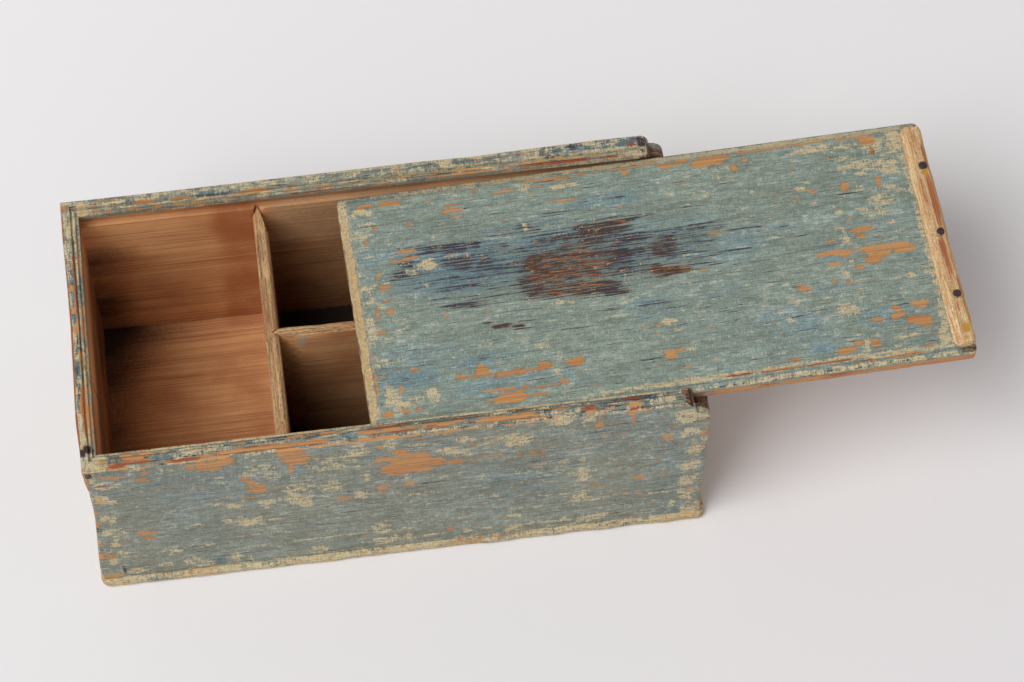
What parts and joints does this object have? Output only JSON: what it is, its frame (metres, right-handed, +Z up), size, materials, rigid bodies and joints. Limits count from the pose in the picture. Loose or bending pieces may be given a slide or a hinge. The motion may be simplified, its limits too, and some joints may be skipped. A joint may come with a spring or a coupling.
{
  "type": "spice box",
  "caption": "Long wooden box with a flat bevelled lid that slides out of one end in grooves, over compartments made by pointed dividers.",
  "frame": {"origin": "middle of the base board's underside, not counting the lid where it stands out of the end", "axes": "+X along the box, towards the end where the lid comes out; +Y towards the back wall; +Z up"},
  "size_m": [0.4338, 0.158, 0.12],
  "materials": {
    "painted_pine": "worn matt blue-green paint over a cream coat on pine",
    "painted_lid": "worn matt blue-green paint over a cream coat on pine",
    "painted_batten": "worn cream and red-brown paint on pine",
    "bare_pine": "bare planed pine, darkened with age",
    "forged_iron": "hand-forged, dark and dull"
  },
  "bodies": {
    "box": {"base_board": "painted_pine", "front_wall": "painted_pine", "back_wall": "painted_pine", "left_end_wall": "painted_pine", "right_end_wall": "painted_pine", "cross_divider": "bare_pine", "long_divider": "bare_pine", "base_nails": "forged_iron", "corner_nail": "forged_iron"},
    "lid": {"lid_board": "painted_lid", "lid_batten": "painted_batten", "lid_nails": "forged_iron"}
  },
  "joints": [
    {"name": "lid_slide", "type": "slide", "parent": "box", "child": "lid", "axis": [1, 0, 0], "range_m": [-0.129, 0.1445]}
  ]
}
